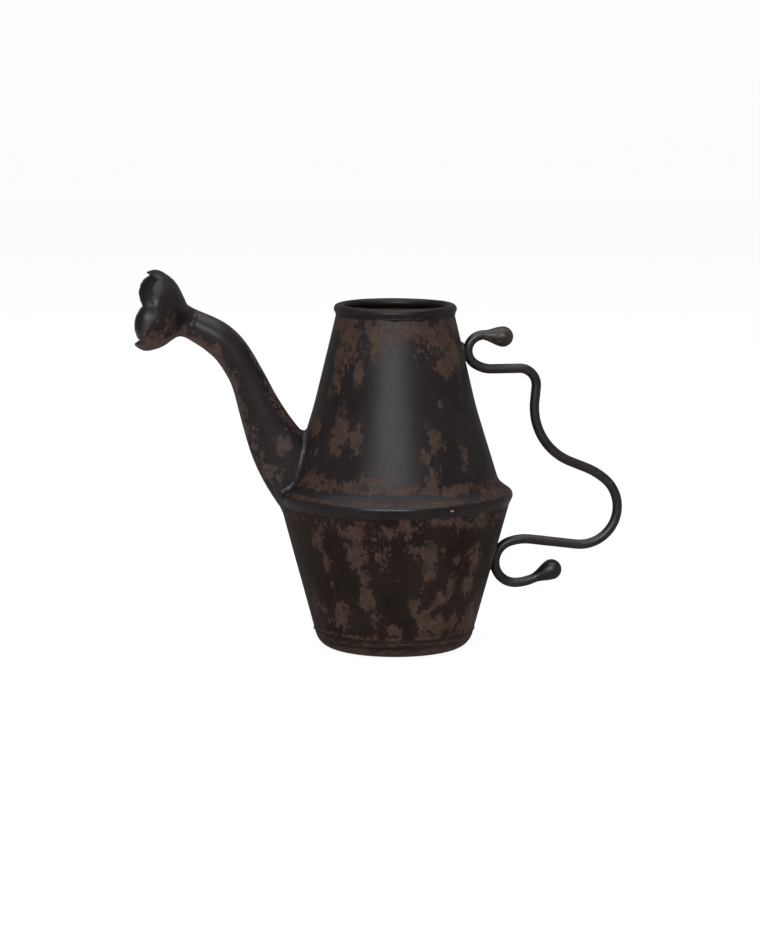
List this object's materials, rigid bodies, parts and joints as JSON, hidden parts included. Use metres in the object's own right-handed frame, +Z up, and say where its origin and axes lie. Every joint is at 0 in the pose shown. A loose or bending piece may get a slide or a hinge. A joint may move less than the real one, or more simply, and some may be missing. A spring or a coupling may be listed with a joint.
{
  "type": "decorative iron watering can",
  "caption": "Welded iron watering can: inverted-cone tub, conical upper body, ring mouth, bent spout ending in a petalled flower, S-curved rod handle with ball ends.",
  "frame": {"origin": "centre of the flat base, on the ground", "axes": "+Z up along the body's axis, the spout points to -X, the handle to +X"},
  "size_m": [0.3964, 0.1894, 0.3057],
  "materials": {
    "dark_iron": "satin black-brown paint, worn through in patches",
    "worn_iron": "matt brown where the dark paint has worn off",
    "weld_iron": "painted weld, satin and slightly lumpy"
  },
  "bodies": {
    "root": {"base_pan": "worn_iron", "base_weld": "weld_iron", "tub_wall": "dark_iron", "shoulder_weld": "weld_iron", "cone_shell": "dark_iron", "rim_ring": "dark_iron", "rim_weld": "weld_iron", "spout_tube": "dark_iron", "spout_weld": "weld_iron", "flower_bell": "worn_iron", "neck_weld": "weld_iron", "handle_rod": "dark_iron", "finial_upper": "dark_iron", "finial_lower": "dark_iron", "handle_weld_upper": "weld_iron", "handle_weld_lower": "weld_iron"}
  },
  "joints": []
}
